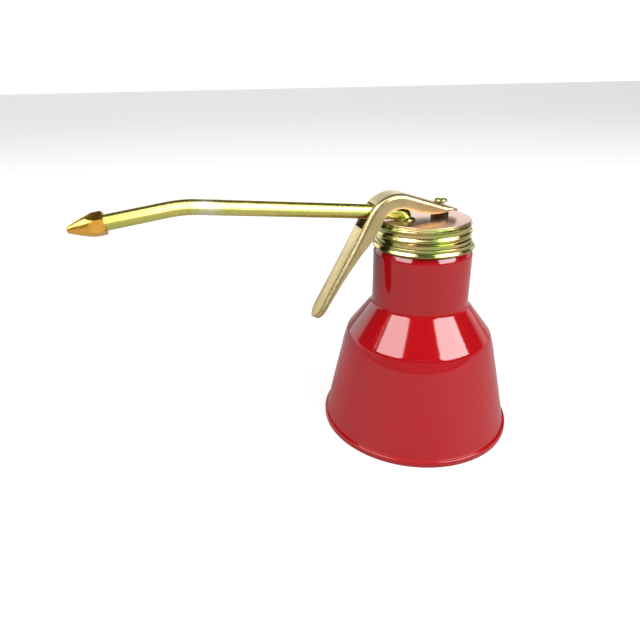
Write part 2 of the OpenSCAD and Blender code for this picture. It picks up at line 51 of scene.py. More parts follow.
# ---------------------------------------------------------------------------------------------
# Studio: a white table and backdrop under a dim ceiling, a wide softbox on each side of the camera, a
# thin strip beyond the left one and another in front, one box overhead, and a panel that lights only
# the spout. The camera looks down a little at the can, with the spout running off to its left.

scene.view_settings.view_transform = "Standard"
scene.view_settings.look = "None"


def add(material, kind, inputs=None, **settings):
    """Adds a node with its settings, its constant inputs and its links."""
    node = material.node_tree.nodes.new("ShaderNode" + kind)
    for key, value in settings.items():
        setattr(node, key, value)
    for key, value in (inputs or {}).items():
        if isinstance(value, bpy.types.NodeSocket):
            material.node_tree.links.new(value, node.inputs[key])
        else:
            node.inputs[key].default_value = value
    return node


def tone(code):
    """An sRGB hex colour as linear RGBA."""
    parts = [int(code[i:i + 2], 16) / 255 for i in (1, 3, 5)]
    return tuple(c / 12.92 if c <= 0.04045 else ((c + 0.055) / 1.055) ** 2.4 for c in parts) + (1.0,)


def coat(name):
    """Starts a material with an empty node tree."""
    material = bpy.data.materials.new(name)
    material.use_nodes = True
    material.node_tree.nodes.clear()
    return material


def surface(material, inputs):
    """Closes a material with a principled shader."""
    shader = add(material, "BsdfPrincipled", inputs)
    add(material, "OutputMaterial", {"Surface": shader.outputs[0]})


def mesh_object(name, bm):
    """Makes an object of a bmesh, which is used up."""
    mesh = bpy.data.meshes.new(name)
    bm.to_mesh(mesh)
    bm.free()
    made = bpy.data.objects.new(name, mesh)
    scene.collection.objects.link(made)
    return made


camera = bpy.data.objects.new("camera", bpy.data.cameras.new("camera"))
scene.collection.objects.link(camera)
camera.data.lens = 29.18
camera.data.sensor_width = 36
camera.data.shift_x = 0.0125
camera.data.shift_y = -0.0359
camera.data.clip_start = 0.01
camera.matrix_world = (
    Matrix.Translation(Vector((-106.8, -200.8, 153.4)) * MM)
    @ Matrix.Rotation(radians(-15.4), 4, "Z")
    @ Matrix.Rotation(radians(90 - 22.25), 4, "X")
    @ Matrix.Rotation(radians(-1.18), 4, "Z")
)
scene.camera = camera

world = bpy.data.worlds.new("studio")
scene.world = world
world.use_nodes = True
world.node_tree.nodes.clear()
direction = add(world, "TexCoord")
height = add(world, "SeparateXYZ", {0: direction.outputs["Generated"]})
horizon_top = add(world, "MapRange", {0: height.outputs["Y"], 1: 0.5, 2: 0.95, 3: 0.2, 4: 0.65})
horizon_foot = add(world, "Math", {0: horizon_top.outputs[0], 1: 0.6}, operation="MULTIPLY")
horizon = add(world, "MapRange", {0: height.outputs["Y"], 1: -0.3, 2: 0.8, 3: 0.36, 4: 1.8})
ceiling = add(world, "MapRange", {0: height.outputs["Z"], 1: horizon_foot.outputs[0],
                                  2: horizon_top.outputs[0], 3: horizon.outputs[0], 4: 0.05},
              interpolation_type="SMOOTHSTEP")
room = add(world, "Background", {"Color": tone("#FFFFFF"), "Strength": ceiling.outputs[0]})
backdrop = add(world, "Background", {"Color": tone("#FFFFFF"), "Strength": 1.15})
seen = add(world, "LightPath")
both = add(world, "MixShader", {0: seen.outputs["Is Camera Ray"], 1: room.outputs[0], 2: backdrop.outputs[0]})
add(world, "OutputWorld", {"Surface": both.outputs[0]})


def softbox(name, azimuth, elevation, width, tall, radiance, distance=1.6):
    """A rectangular light that faces the neck of the can; azimuth is counted from +X."""
    a, e = radians(azimuth), radians(elevation)
    way = Vector((cos(e) * cos(a), cos(e) * sin(a), sin(e)))
    light = bpy.data.lights.new(name, "AREA")
    light.shape = "RECTANGLE"
    light.size, light.size_y = width, tall
    light.energy = radiance * pi * width * tall
    lamp = bpy.data.objects.new(name, light)
    scene.collection.objects.link(lamp)
    lamp.matrix_world = (Matrix.Translation(Vector((0, 0, 0.06)) + way * distance)
                         @ way.to_track_quat("Z", "Y").to_matrix().to_4x4())
    return lamp


softbox("softbox_left", 196, 43, 1.02, 0.80, 9.0)
softbox("softbox_left_edge", 171, 40, 0.07, 0.66, 12.0)
softbox("softbox_right", -51, 38, 1.12, 0.80, 11.5)
softbox("strip_front", -104, 30, 0.90, 0.05, 1.5)
softbox("overhead", -95, 74, 1.30, 0.55, 3.0)
spout_panel = softbox("spout_panel", -82, 30, 1.20, 2.00, 4.5)

table_mesh = bmesh.new()
bmesh.ops.create_grid(table_mesh, x_segments=1, y_segments=1, size=30.0)
table = mesh_object("table", table_mesh)
laminate = coat("white_laminate")
to_camera = add(laminate, "LightPath")
glow = add(laminate, "Math", {0: to_camera.outputs["Is Camera Ray"], 1: 0.62}, operation="MULTIPLY")
surface(laminate, {"Base Color": tone("#ACA9A9"), "Roughness": 0.7, "Emission Color": tone("#FFFFFF"),
                   "Emission Strength": glow.outputs[0]})
table.data.materials.append(laminate)

# ---------------------------------------------------------------------------------------------
# Can: one deep-drawn steel shell. The neck, shoulder and skirt are pressed from a single blank,
# the neck's rim is turned in under the collar, and the foot is rolled out into a hem.

HEM_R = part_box("can_body")[1].x / MM
SHEET = 0.6


def piece(name, bm, body, material, stands_for=(), sharp=38):
    """Makes an object of a bmesh, shades it, gives it its finish, parents it to its body's empty and hides
    the CAD parts it stands for.
    """
    made = mesh_object(name, bm)
    for face in made.data.polygons:
        face.use_smooth = True
    made.data.set_sharp_from_angle(angle=radians(sharp))
    made.data.materials.append(material)
    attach(made, body)
    if stands_for:
        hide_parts(*stands_for)
    return made


def turned(profile, steps=160):
    """Spins a closed outline of (radius, height, rounding) in mm about the Z axis."""
    bm = bmesh.new()
    verts = [bm.verts.new((r * MM, 0, z * MM)) for r, z, _ in profile]
    for a, b in zip(verts, verts[1:] + verts[:1]):
        if a.co.x or b.co.x:
            bm.edges.new((a, b))
    for vert, (_, _, rounding) in zip(verts, profile):
        if rounding:
            a, b = [(edge.other_vert(vert).co - vert.co).normalized() for edge in vert.link_edges]
            half = a.angle(b) / 2
            bmesh.ops.bevel(bm, geom=[vert], offset=rounding * MM / tan(half), offset_type="OFFSET",
                            segments=max(3, int(3 + degrees(pi - 2 * half) / 9)), profile=0.5,
                            affect="VERTICES", material=-1)
    bmesh.ops.spin(bm, geom=bm.verts[:] + bm.edges[:], cent=(0, 0, 0), axis=(0, 0, 1),
                   angle=2 * pi, steps=steps, use_merge=True)
    bmesh.ops.remove_doubles(bm, verts=bm.verts, dist=1e-7)
    bmesh.ops.recalc_face_normals(bm, faces=bm.faces)
    return bm


# Baked alkyd enamel over steel: a clear, hard gloss with a faint orange peel from the spray gun
enamel = coat("red_baked_enamel")
where = add(enamel, "TexCoord")
cloud = add(enamel, "TexNoise", {"Vector": where.outputs["Object"], "Scale": 35, "Detail": 3})
colour = add(enamel, "Mix", {0: cloud.outputs[0], 6: tone("#920910"), 7: tone("#9E0B12")}, data_type="RGBA")
peel = add(enamel, "TexNoise", {"Vector": where.outputs["Object"], "Scale": 420, "Detail": 1})
skin = add(enamel, "Bump", {"Strength": 0.035, "Distance": 0.0004, "Height": peel.outputs[0]})
dust = add(enamel, "TexNoise", {"Vector": where.outputs["Object"], "Scale": 1400, "Detail": 2})
haze = add(enamel, "MapRange", {0: dust.outputs[0], 1: 0.35, 2: 0.75, 3: 0.06, 4: 0.13})
surface(enamel, {"Base Color": colour.outputs[2], "Roughness": haze.outputs[0], "IOR": 1.52,
                 "Normal": skin.outputs[0]})

can = turned([
    (HEM_R - 0.75, 0.0, 0.2), (HEM_R, 0.0, 0.55), (HEM_R, 3.0, 0.75), (HEM_R - 1.15, 3.0, 0.25),
    (34.62, 41.2, 28.0), (33.15, 46.0, 4.5), (21.7, 61.0, 3.4), (21.7, 84.3, 2.2), (20.1, 87.3, 0.2),
    (19.4, 87.3, 0.1), (21.1, 83.6, 2.6), (21.1, 61.2, 4.0), (32.7, 45.9, 8.0),
    (HEM_R - 1.75, 3.2, 0.3), (HEM_R - 1.6, 2.3, 0.2), (HEM_R - 0.75, 2.2, 0.2),
], steps=200)
piece("enamelled_can", can, "can", enamel, ["can_body"])

# ---------------------------------------------------------------------------------------------
# Floor plate: a pressed disc with one raised stiffening ring, set into the hem and enamelled with
# the can. Its rim is turned down to stand level with the foot.

PLATE_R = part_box("bottom_plate")[1].x / MM
plate = turned([
    (0.0, 1.3, 0), (17.0, 1.3, 1.5), (19.0, 1.9, 1.5), (24.0, 1.9, 1.5), (26.0, 1.2, 1.5),
    (PLATE_R - 1.3, 1.2, 0.8), (PLATE_R - 0.6, 0.0, 0.2), (PLATE_R, 0.0, 0.2), (PLATE_R, 2.35, 0.1),
    (PLATE_R - 0.6, 2.35, 0.1), (PLATE_R - 0.9, 1.8, 0.2), (26.4, 1.8, 1.5), (24.3, 2.4, 1.5),
    (18.7, 2.4, 1.5), (16.7, 1.9, 1.5), (0.0, 1.9, 0),
], steps=128)
piece("floor_plate", plate, "can", enamel, ["bottom_plate"])

# ---------------------------------------------------------------------------------------------
# Neck collar: a spun steel ring rolled over the rim of the neck, with a rolled thread above it.
# It is zinc plated and dipped in yellow chromate, which leaves lime, gold and rose tints.

collar_lo, collar_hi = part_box("neck_collar")
COLLAR_R = collar_hi.x / MM
COLLAR_FOOT = collar_lo.z / MM
RING_TOP = COLLAR_FOOT + 3.0
PITCH = 3.8
THREAD_DEPTH = 0.8
UPSTAND_R = 19.0
CREST_ZERO = RING_TOP + 2.55 - PITCH / 2

# Yellow chromate on zinc: a thin clear film on bright metal, so soft gloss with drifting tints
chromate = coat("yellow_zinc_chromate")
where = add(chromate, "TexCoord")
drift = add(chromate, "TexNoise", {"Vector": where.outputs["Object"], "Scale": 55, "Detail": 2})
tint = add(chromate, "MapRange", {0: drift.outputs[0], 1: 0.38, 2: 0.62})
lime = add(chromate, "Mix", {0: tint.outputs[0], 6: tone("#A9B866"), 7: tone("#CDB779")}, data_type="RGBA")
blush = add(chromate, "TexNoise", {"Vector": where.outputs["Object"], "Scale": 24, "Detail": 3})
rosy = add(chromate, "MapRange", {0: blush.outputs[0], 1: 0.55, 2: 0.72, 3: 0.0, 4: 0.55})
colour = add(chromate, "Mix", {0: rosy.outputs[0], 6: lime.outputs[2], 7: tone("#D2AFA0")}, data_type="RGBA")
grain = add(chromate, "TexNoise", {"Vector": where.outputs["Object"], "Scale": 900, "Detail": 3})
satin = add(chromate, "MapRange", {0: grain.outputs[0], 1: 0.3, 2: 0.7, 3: 0.15, 4: 0.26})
skin = add(chromate, "Bump", {"Strength": 0.05, "Distance": 0.0002, "Height": grain.outputs[0]})
surface(chromate, {"Base Color": colour.outputs[2], "Metallic": 1.0, "Roughness": satin.outputs[0],
                   "Normal": skin.outputs[0]})


def rolled_thread(bm, low, high, band_top, fade_from):
    """Moves the walls of a spun sleeve out to a helical wave, above a plain band."""
    for vert in bm.verts:
        x, y, z = vert.co / MM
        radius, turn = sqrt(x * x + y * y), atan2(y, x) / (2 * pi)
        wave = ((1 + cos(2 * pi * ((z - CREST_ZERO) / PITCH - turn))) / 2) ** 2
        wave *= 1 - min(1, max(0, (z - fade_from) / (high - fade_from)))
        band = 1 - min(1, max(0, (z - band_top) / 0.6))
        if low - 0.01 <= z <= high + 0.01:
            grown = radius + THREAD_DEPTH * max(wave, band)
            vert.co.x *= grown / radius
            vert.co.y *= grown / radius


ring = turned([
    (19.6, COLLAR_FOOT + 0.05, 0.2), (COLLAR_R, COLLAR_FOOT, 0.2), (COLLAR_R - 0.1, COLLAR_FOOT + 0.55, 0.25),
    (COLLAR_R - 0.85, COLLAR_FOOT + 1.7, 1.4), (COLLAR_R - 0.9, RING_TOP, 0.25),
    (18.5, RING_TOP, 0.1), (18.5, RING_TOP - 0.7, 0.1), (19.6, RING_TOP - 0.7, 0.1),
], steps=160)
piece("collar_ring", ring, "can", chromate, ["neck_collar"])


def sleeve(outer, wall, low, high, rows, steps=200):
    """A plain thin sleeve with enough rows to carry a thread."""
    bm = bmesh.new()
    foot = bm.verts.new((outer * MM, 0, low * MM))
    head = bm.verts.new((outer * MM, 0, high * MM))
    rise = bm.edges.new((foot, head))
    inner = bmesh.ops.extrude_edge_only(bm, edges=[rise])
    moved = [v for v in inner["geom"] if isinstance(v, bmesh.types.BMVert)]
    bmesh.ops.translate(bm, verts=moved, vec=(-wall * MM, 0, 0))
    bmesh.ops.delete(bm, geom=bm.faces[:], context="FACES_ONLY")
    tall = [e for e in bm.edges if abs(e.verts[0].co.z - e.verts[1].co.z) > MM]
    bmesh.ops.subdivide_edges(bm, edges=tall, cuts=rows - 1)
    bmesh.ops.spin(bm, geom=bm.verts[:] + bm.edges[:], cent=(0, 0, 0), axis=(0, 0, 1),
                   angle=2 * pi, steps=steps, use_merge=True)
    bmesh.ops.remove_doubles(bm, verts=bm.verts, dist=1e-7)
    bmesh.ops.recalc_face_normals(bm, faces=bm.faces)
    return bm


UPSTAND_TOP = collar_hi.z / MM
upstand = sleeve(UPSTAND_R, SHEET, RING_TOP - 0.1, UPSTAND_TOP, 48)
rolled_thread(upstand, RING_TOP, UPSTAND_TOP, RING_TOP - 2, UPSTAND_TOP - 0.8)
piece("collar_thread", upstand, "can", chromate)

# Nitrile sheet punched into a ring: black, matt, with the fine mould grain of calendered rubber
rubber = coat("black_nitrile_rubber")
where = add(rubber, "TexCoord")
grain = add(rubber, "TexNoise", {"Vector": where.outputs["Object"], "Scale": 1600, "Detail": 2})
colour = add(rubber, "Mix", {0: grain.outputs[0], 6: tone("#17171A"), 7: tone("#2B2B30")}, data_type="RGBA")
skin = add(rubber, "Bump", {"Strength": 0.2, "Distance": 0.0002, "Height": grain.outputs[0]})
surface(rubber, {"Base Color": colour.outputs[2], "Roughness": 0.7, "Normal": skin.outputs[0]})
for node in ("cap_gasket", "gland_packing"):
    frame["nodes"][node].material_slots[0].material = rubber

# ---------------------------------------------------------------------------------------------
# Cap: a pressed cup whose skirt is rolled with the same right-hand thread, closed by a flat disc
# that is spun into its rim. The disc took the chromate as a flat rose tint.

cap_lo, cap_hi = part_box("cap")
CAP_FOOT = cap_lo.z / MM
CAP_TOP = cap_hi.z / MM
DISC_R = 19.8
ROOT_R = 19.9

SKIRT_TOP = CAP_TOP - 0.95
skirt = sleeve(ROOT_R, SHEET, CAP_FOOT, SKIRT_TOP, 84, 240)
rolled_thread(skirt, CAP_FOOT, SKIRT_TOP, CAP_FOOT + 1.2, CAP_TOP - 1.7)
piece("cap_skirt", skirt, "head", chromate, ["cap"])

roll = turned([
    (ROOT_R - 1.2, CAP_TOP - 1.3, 0.1), (ROOT_R + 0.05, CAP_TOP - 1.3, 0.15),
    (ROOT_R + 0.32, CAP_TOP - 0.8, 0.25), (ROOT_R - 0.05, CAP_TOP - 0.45, 0.1),
    (ROOT_R - 1.2, CAP_TOP - 0.45, 0.1),
], steps=200)
piece("cap_rim_roll", roll, "head", chromate)

# The disc's own film: rose drifting into gold, with a fine even grain
rose = coat("rose_zinc_chromate")
where = add(rose, "TexCoord")
drift = add(rose, "TexNoise", {"Vector": where.outputs["Object"], "Scale": 40, "Detail": 3})
tint = add(rose, "MapRange", {0: drift.outputs[0], 1: 0.35, 2: 0.68})
colour = add(rose, "Mix", {0: tint.outputs[0], 6: tone("#D2A898"), 7: tone("#C8AE8C")}, data_type="RGBA")
grain = add(rose, "TexNoise", {"Vector": where.outputs["Object"], "Scale": 1200, "Detail": 3})
satin = add(rose, "MapRange", {0: grain.outputs[0], 1: 0.3, 2: 0.7, 3: 0.26, 4: 0.38})
skin = add(rose, "Bump", {"Strength": 0.06, "Distance": 0.0002, "Height": grain.outputs[0]})
surface(rose, {"Base Color": colour.outputs[2], "Metallic": 1.0, "Roughness": satin.outputs[0],
               "Normal": skin.outputs[0]})


def carved(bm, tool, operation):
    """A boolean of two bmeshes, which are both used up."""
    kept, cutter = mesh_object("kept", bm), mesh_object("cutter", tool)
    cut = kept.modifiers.new("cut", "BOOLEAN")
    cut.operation, cut.solver, cut.object = operation, "EXACT", cutter
    result = bmesh.new()
    result.from_object(kept, bpy.context.evaluated_depsgraph_get())
    bpy.data.objects.remove(kept)
    bpy.data.objects.remove(cutter)
    return result


def bored(bm, holes, low, high):
    """Cuts round upright holes (x, y, radius in mm) through a mesh."""
    drills = bmesh.new()
    for x, y, r in holes:
        bmesh.ops.create_cone(drills, cap_ends=True, segments=48, radius1=r * MM, radius2=r * MM,
                              depth=(high - low) * MM,
                              matrix=Matrix.Translation(Vector((x, y, (low + high) / 2)) * MM))
    return carved(bm, drills, "DIFFERENCE")


ROD_X = 7.3
GLAND_HOLE_R = 3.0
SPOUT_X = -9.5
TUBE_R = 3.1
VENT = (-3.0, 10.0, 0.5)
disc = turned([
    (0.0, CAP_TOP - 0.85, 0), (DISC_R - 0.2, CAP_TOP - 0.85, 0.1), (DISC_R, CAP_TOP - 0.6, 0.1),
    (DISC_R, CAP_TOP, 0.35), (0.0, CAP_TOP, 0),
], steps=160)
disc = bored(disc, [(ROD_X, 0, GLAND_HOLE_R), (SPOUT_X, 0, TUBE_R), VENT], CAP_TOP - 2, CAP_TOP + 1)
piece("cap_disc", disc, "head", rose)

# ---------------------------------------------------------------------------------------------
# Spout: one length of 6.2 mm steel tube, bent over a small former at the cap and over a large one
# near its end, then chromated. The bends rubbed the film thin and wrinkled the tight elbow.

LEG_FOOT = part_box("spout_elbow")[0].z / MM
TUBE_WALL = 0.8
ELBOW_R = 3.4
LEG_TOP_SINK = 0.24
ELBOW_H = CAP_TOP - LEG_TOP_SINK
RISE, DROP = radians(6), radians(7.5)
RUN_L, BEND_R, DROP_L = 83.5, 50.0, 26.6

tube = bmesh.new()
bmesh.ops.create_circle(tube, segments=48, radius=TUBE_R * MM,
                        matrix=Matrix.Translation(Vector((SPOUT_X, 0, LEG_FOOT)) * MM))


def last_ring(geom):
    """The edges in what an operator made."""
    return [e for e in geom if isinstance(e, bmesh.types.BMEdge)]


def push(bm, ring, way, length, pieces):
    """Draws a ring of edges out along a direction, in equal pieces; returns the last ring."""
    for _ in range(pieces):
        made = bmesh.ops.extrude_edge_only(bm, edges=ring)["geom"]
        moved = [v for v in made if isinstance(v, bmesh.types.BMVert)]
        bmesh.ops.translate(bm, verts=moved, vec=way * (length / pieces * MM))
        ring = [e for e in last_ring(made) if all(v in moved for v in e.verts)]
    return ring


def bend(bm, ring, centre, angle, steps):
    """Turns a ring of edges about a point in the XZ plane, from up towards -X."""
    made = bmesh.ops.spin(bm, geom=ring + list({v for e in ring for v in e.verts}), cent=centre * MM,
                          axis=(0, -1, 0), angle=angle, steps=steps, use_merge=False)
    return last_ring(made["geom_last"])


ring = tube.edges[:]
ring = push(tube, ring, Vector((0, 0, 1)), ELBOW_H - LEG_FOOT, 1)
ring = bend(tube, ring, Vector((SPOUT_X - ELBOW_R, 0, ELBOW_H)), pi / 2 - RISE, 24)
RUN_WAY = Vector((-cos(RISE), 0, sin(RISE)))
ELBOW_END = Vector((SPOUT_X - ELBOW_R * (1 - sin(RISE)), 0, ELBOW_H + ELBOW_R * cos(RISE)))
ring = push(tube, ring, RUN_WAY, RUN_L, 24)
BEND_AT = ELBOW_END + RUN_WAY * RUN_L
BEND_CENTRE = BEND_AT - Vector((sin(RISE), 0, cos(RISE))) * BEND_R
ring = bend(tube, ring, BEND_CENTRE, RISE + DROP, 12)
DROP_WAY = Vector((-cos(DROP), 0, -sin(DROP)))
DROP_AT = BEND_CENTRE + Vector((-sin(DROP), 0, cos(DROP))) * BEND_R
push(tube, ring, DROP_WAY, DROP_L, 8)
bmesh.ops.remove_doubles(tube, verts=tube.verts, dist=1e-7)
bmesh.ops.recalc_face_normals(tube, faces=tube.faces)
bmesh.ops.solidify(tube, geom=tube.faces[:], thickness=TUBE_WALL * MM)

# The tube's film: lime and gold along the run, rubbed to bare zinc just before the long bend
RUBBED_AT = 0.0925
rubbed = coat("rubbed_zinc_chromate")
where = add(rubbed, "TexCoord")
along = add(rubbed, "Mapping", {"Vector": where.outputs["Object"], "Scale": (0.35, 1.0, 1.0)})
drift = add(rubbed, "TexNoise", {"Vector": along.outputs[0], "Scale": 130, "Detail": 3})
tint = add(rubbed, "MapRange", {0: drift.outputs[0], 1: 0.36, 2: 0.64})
lime = add(rubbed, "Mix", {0: tint.outputs[0], 6: tone("#B2BC5C"), 7: tone("#D2C470")}, data_type="RGBA")
blush = add(rubbed, "TexNoise", {"Vector": along.outputs[0], "Scale": 60, "Detail": 2})
rosy = add(rubbed, "MapRange", {0: blush.outputs[0], 1: 0.58, 2: 0.75, 3: 0.0, 4: 0.6})
film = add(rubbed, "Mix", {0: rosy.outputs[0], 6: lime.outputs[2], 7: tone("#CFA88C")}, data_type="RGBA")
metres = add(rubbed, "SeparateXYZ", {0: where.outputs["Object"]})
to_bend = add(rubbed, "Math", {0: metres.outputs["X"], 1: RUBBED_AT}, operation="ADD")
off_bend = add(rubbed, "Math", {0: to_bend.outputs[0]}, operation="ABSOLUTE")
near_bend = add(rubbed, "MapRange", {0: off_bend.outputs[0], 1: 0.001, 2: 0.007, 3: 0.6, 4: 0.0})
speck = add(rubbed, "TexNoise", {"Vector": where.outputs["Object"], "Scale": 650, "Detail": 4})
worn = add(rubbed, "MapRange", {0: speck.outputs[0], 1: 0.36, 2: 0.52})
patch = add(rubbed, "Math", {0: near_bend.outputs[0], 1: worn.outputs[0]}, operation="MULTIPLY")
spots = add(rubbed, "MapRange", {0: speck.outputs[0], 1: 0.62, 2: 0.78, 3: 0.0, 4: 0.4})
bare = add(rubbed, "Math", {0: patch.outputs[0], 1: spots.outputs[0]}, operation="MAXIMUM")
colour = add(rubbed, "Mix", {0: bare.outputs[0], 6: film.outputs[2], 7: tone("#D9D7CF")}, data_type="RGBA")
rough = add(rubbed, "MapRange", {0: bare.outputs[0], 1: 0.0, 2: 1.0, 3: 0.27, 4: 0.42})
from_elbow = add(rubbed, "VectorMath", {0: where.outputs["Object"],
                                        1: (-(SPOUT_X - ELBOW_R) * MM, 0, -ELBOW_H * MM)}, operation="ADD")
elbow_xz = add(rubbed, "SeparateXYZ", {0: from_elbow.outputs[0]})
elbow_turn = add(rubbed, "Math", {0: elbow_xz.outputs["Z"], 1: elbow_xz.outputs["X"]}, operation="ARCTAN2")
fold = add(rubbed, "Math", {0: elbow_turn.outputs[0], 1: 34.0}, operation="MULTIPLY")
fold = add(rubbed, "Math", {0: fold.outputs[0]}, operation="SINE")
off_elbow = add(rubbed, "VectorMath", {0: from_elbow.outputs[0]}, operation="LENGTH")
at_elbow = add(rubbed, "MapRange", {0: off_elbow.outputs["Value"], 1: 0.0055, 2: 0.0078, 3: 1.0, 4: 0.0})
wrinkle = add(rubbed, "Math", {0: fold.outputs[0], 1: at_elbow.outputs[0]}, operation="MULTIPLY")
relief = add(rubbed, "Math", {0: wrinkle.outputs[0], 1: speck.outputs[0]}, operation="MULTIPLY")
skin = add(rubbed, "Bump", {"Strength": 0.5, "Distance": 0.0003, "Height": relief.outputs[0]})
surface(rubbed, {"Base Color": colour.outputs[2], "Metallic": 1.0, "Roughness": rough.outputs[0],
                 "Normal": skin.outputs[0]})
spout = piece("bent_spout", tube, "head", rubbed, ["spout_elbow", "spout_tube"], sharp=50)

# The tall white panel lights the spout and, further on, its nozzle, and nothing else
lit_alone = bpy.data.collections.new("lit_by_spout_panel")
lit_alone.objects.link(spout)
spout_panel.light_linking.receiver_collection = lit_alone

# Brazing ring: a washer with a soft fillet of braze that holds the elbow to the disc
braze = turned([
    (2.9, CAP_TOP - 0.05, 0), (4.7, CAP_TOP - 0.05, 0), (4.7, CAP_TOP + 0.5, 0.3), (3.9, CAP_TOP + 0.8, 0.5),
    (2.9, CAP_TOP + 0.95, 0),
], steps=64)
bmesh.ops.translate(braze, verts=braze.verts, vec=(SPOUT_X * MM, 0, 0))
piece("brazed_ring", braze, "head", chromate, ["spout_ring"])

# ---------------------------------------------------------------------------------------------
# Nozzle: turned from 8 mm hexagon brass bar, drilled at the tip, and left bright. Nearly half of it
# keeps its flats for a spanner; the rest is a slightly full cone down to the orifice.

# Free-cutting brass: warm gold, polished by the tool, with its rings left round the cone
brass = coat("turned_brass")
where = add(brass, "TexCoord")
tarnish = add(brass, "TexNoise", {"Vector": where.outputs["Object"], "Scale": 120, "Detail": 3})
colour = add(brass, "Mix", {0: tarnish.outputs[0], 6: tone("#D99A36"), 7: tone("#E8B457")}, data_type="RGBA")
rings = add(brass, "TexWave", {"Vector": where.outputs["Object"], "Scale": 700, "Distortion": 0.6,
                               "Detail": 1}, bands_direction="X")
skin = add(brass, "Bump", {"Strength": 0.03, "Distance": 0.00005, "Height": rings.outputs[0]})
satin = add(brass, "MapRange", {0: tarnish.outputs[0], 1: 0.3, 2: 0.7, 3: 0.2, 4: 0.32})
surface(brass, {"Base Color": colour.outputs[2], "Metallic": 1.0, "Roughness": satin.outputs[0],
                "Normal": skin.outputs[0]})

HEX_AF, HEX_L, NOZZLE_L, TIP_R = 8.0, 3.2, 13.4, 1.1
ORIFICE_R, ORIFICE_L, SOCKET_L = 0.45, 3.5, 4.0
CONE_FULLNESS = 1.35
CORNER_R = HEX_AF / 2 / cos(radians(30))
CONE_ROWS = 10
cone = [(TIP_R + (CORNER_R - TIP_R) * (1 - (i / CONE_ROWS) ** CONE_FULLNESS),
         HEX_L + (NOZZLE_L - HEX_L) * i / CONE_ROWS, 0) for i in range(CONE_ROWS)]
tip = [(TIP_R, NOZZLE_L, 0.25), (ORIFICE_R, NOZZLE_L, 0.1), (ORIFICE_R, NOZZLE_L - ORIFICE_L, 0),
       (0.0, NOZZLE_L - ORIFICE_L, 0)]
nozzle = turned([(0.0, 0.0, 0), (CORNER_R - 0.5, 0.0, 0), (CORNER_R, 0.45, 0)] + cone + tip, steps=96)
bar = bmesh.new()
bar_middle = Matrix.Translation(Vector((0, 0, NOZZLE_L / 2)) * MM)
bmesh.ops.create_cone(bar, cap_ends=True, segments=6, radius1=CORNER_R * MM, radius2=CORNER_R * MM,
                      depth=(NOZZLE_L + 2) * MM, matrix=bar_middle @ Matrix.Rotation(radians(30), 4, "Z"))
nozzle = carved(nozzle, bar, "INTERSECT")
NOZZLE_AT = DROP_AT + DROP_WAY * (DROP_L - SOCKET_L)
bmesh.ops.rotate(nozzle, verts=nozzle.verts, cent=(0, 0, 0), matrix=Matrix.Rotation(-pi / 2 - DROP, 3, "Y"))
bmesh.ops.translate(nozzle, verts=nozzle.verts, vec=NOZZLE_AT * MM)
nozzle_part = piece("brass_nozzle", nozzle, "head", brass, ["nozzle"], sharp=24)
lit_alone.objects.link(nozzle_part)

# ---------------------------------------------------------------------------------------------
# Lever: one blank of 0.9 mm sheet pressed into a channel. Its arm runs over the cap to the rod,
# humps over the spout, and becomes the handle; a window in the handle's web lets the tube pass.

bearing = next(j for j in frame["joints"] if j["name"] == "lever_pull")["pos_m"]
BEAR = Vector((-bearing[0], bearing[2])) / MM
WIDE, GAUGE, CORNER, CROWN = 12.5, 0.9, 2.2, 0.9
HALF = WIDE / 2
ARM_OFF, HANDLE_OFF = 7.88, 1.3
WINDOW_HALF, SLOT_HALF = 4.05, 1.8
ARM, HANDLE = radians(18.4), radians(60.7)
HUMP_R, HANDLE_L, TIP_OUT = 14.0, 62.6, 7.9
arm_way, arm_up = Vector((cos(ARM), sin(ARM))), Vector((-sin(ARM), cos(ARM)))
handle_way, handle_out = Vector((cos(HANDLE), -sin(HANDLE))), Vector((sin(HANDLE), cos(HANDLE)))
arm_at, handle_at = BEAR + ARM_OFF * arm_up, BEAR + HANDLE_OFF * handle_out
corner = arm_at + arm_way * ((handle_at - arm_at).dot(handle_out) / arm_way.dot(handle_out))
hump_turn = ARM + HANDLE
hump_run = HUMP_R * tan(hump_turn / 2)
hump_at = corner - hump_run * arm_way - HUMP_R * arm_up
arm_l = (corner.x + ROD_X + TIP_OUT) / cos(ARM)
hump_from = arm_l - hump_run
hump_to = hump_from + HUMP_R * hump_turn
lever_l = hump_to + HANDLE_L - hump_run


def on_lever(u):
    """Point and outward normal of the outer face at a distance u from the rear tip."""
    if u < hump_from:
        return corner + (u - arm_l) * arm_way, arm_up
    if u < hump_to:
        a = pi / 2 + ARM - (u - hump_from) / HUMP_R
        out = Vector((cos(a), sin(a)))
        return hump_at + HUMP_R * out, out
    return corner + (hump_run + u - hump_to) * handle_way, handle_out


DEPTHS = [(0, 0.95), (4.9, 0.95), (6.8, 1.9), (10.4, 3.65), (14.3, 4.9), (18, 5.5), (24, 5.7),
          (hump_from + 9, 6.2), (hump_to + 8, 6.3), (hump_to + 13, 5.6), (hump_to + 17, 4.7),
          (hump_to + 25, 3.7), (hump_to + 31, 3.1), (lever_l, 2.2)]


def flange(u):
    """Depth of the side flanges below the outer face."""
    for (u0, d0), (u1, d1) in zip(DEPTHS, DEPTHS[1:]):
        if u <= u1:
            t = max(0.0, (u - u0) / (u1 - u0))
            return d0 + (d1 - d0) * t
    return DEPTHS[-1][1]


